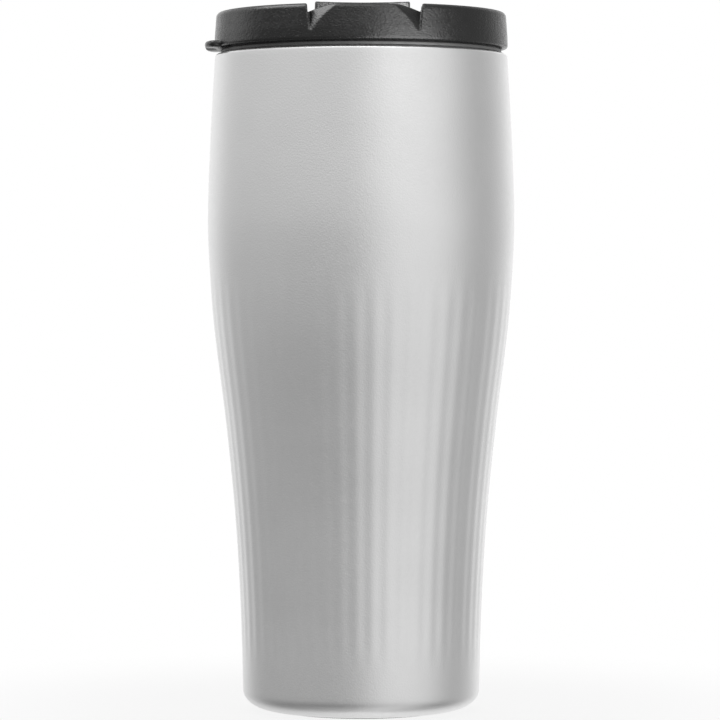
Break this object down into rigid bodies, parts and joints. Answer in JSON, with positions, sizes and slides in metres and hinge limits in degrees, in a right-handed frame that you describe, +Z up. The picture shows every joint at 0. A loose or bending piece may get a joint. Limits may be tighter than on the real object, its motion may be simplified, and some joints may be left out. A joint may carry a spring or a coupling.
{
  "type": "insulated travel mug",
  "caption": "Tall waisted double-walled steel travel mug with a fluted lower body and a black press-in lid whose flip lever opens a drink hole.",
  "frame": {"origin": "centre of the foot, on the plane the mug stands on", "axes": "+Z up along the mug's axis, -Y towards the drinking lip, -X towards the lift tab"},
  "size_m": [0.0857, 0.085, 0.1957],
  "materials": {
    "satin_steel": "satin, fine blasted grain",
    "liner_steel": "brushed",
    "pin_steel": "ground",
    "foil": "thin metal foil",
    "getter_metal": "sintered",
    "seal_metal": "solder",
    "black_plastic": "fine moulded texture",
    "charcoal_plastic": "smooth moulded",
    "silicone": "smooth silicone",
    "foam": "closed-cell foam"
  },
  "bodies": {
    "mug": {"outer_shell": "satin_steel", "inner_liner": "liner_steel", "radiation_foil": "foil", "base_pan": "liner_steel", "getter": "getter_metal", "vacuum_seal": "seal_metal", "base_cover": "liner_steel", "foot_pad": "silicone"},
    "lid": {"lid_cover": "black_plastic", "lid_plug": "charcoal_plastic", "rim_gasket": "silicone", "mouth_gasket": "silicone", "insulation_disc": "foam", "duct_ring": "silicone", "hinge_pin": "pin_steel", "detent_spring": "pin_steel"},
    "lever": {"flip_lever": "black_plastic", "lever_insert": "charcoal_plastic", "drink_stopper": "silicone", "vent_plug": "silicone"}
  },
  "joints": [
    {"name": "lid_lift", "type": "slide", "parent": "mug", "child": "lid", "axis": [0, 0, 1], "range_m": [0, 0.04]},
    {"name": "lever_flip", "type": "hinge", "parent": "lid", "child": "lever", "pos_m": [0, 0.017, 0.19], "axis": [-1, 0, 0], "range_deg": [0, 120]}
  ]
}
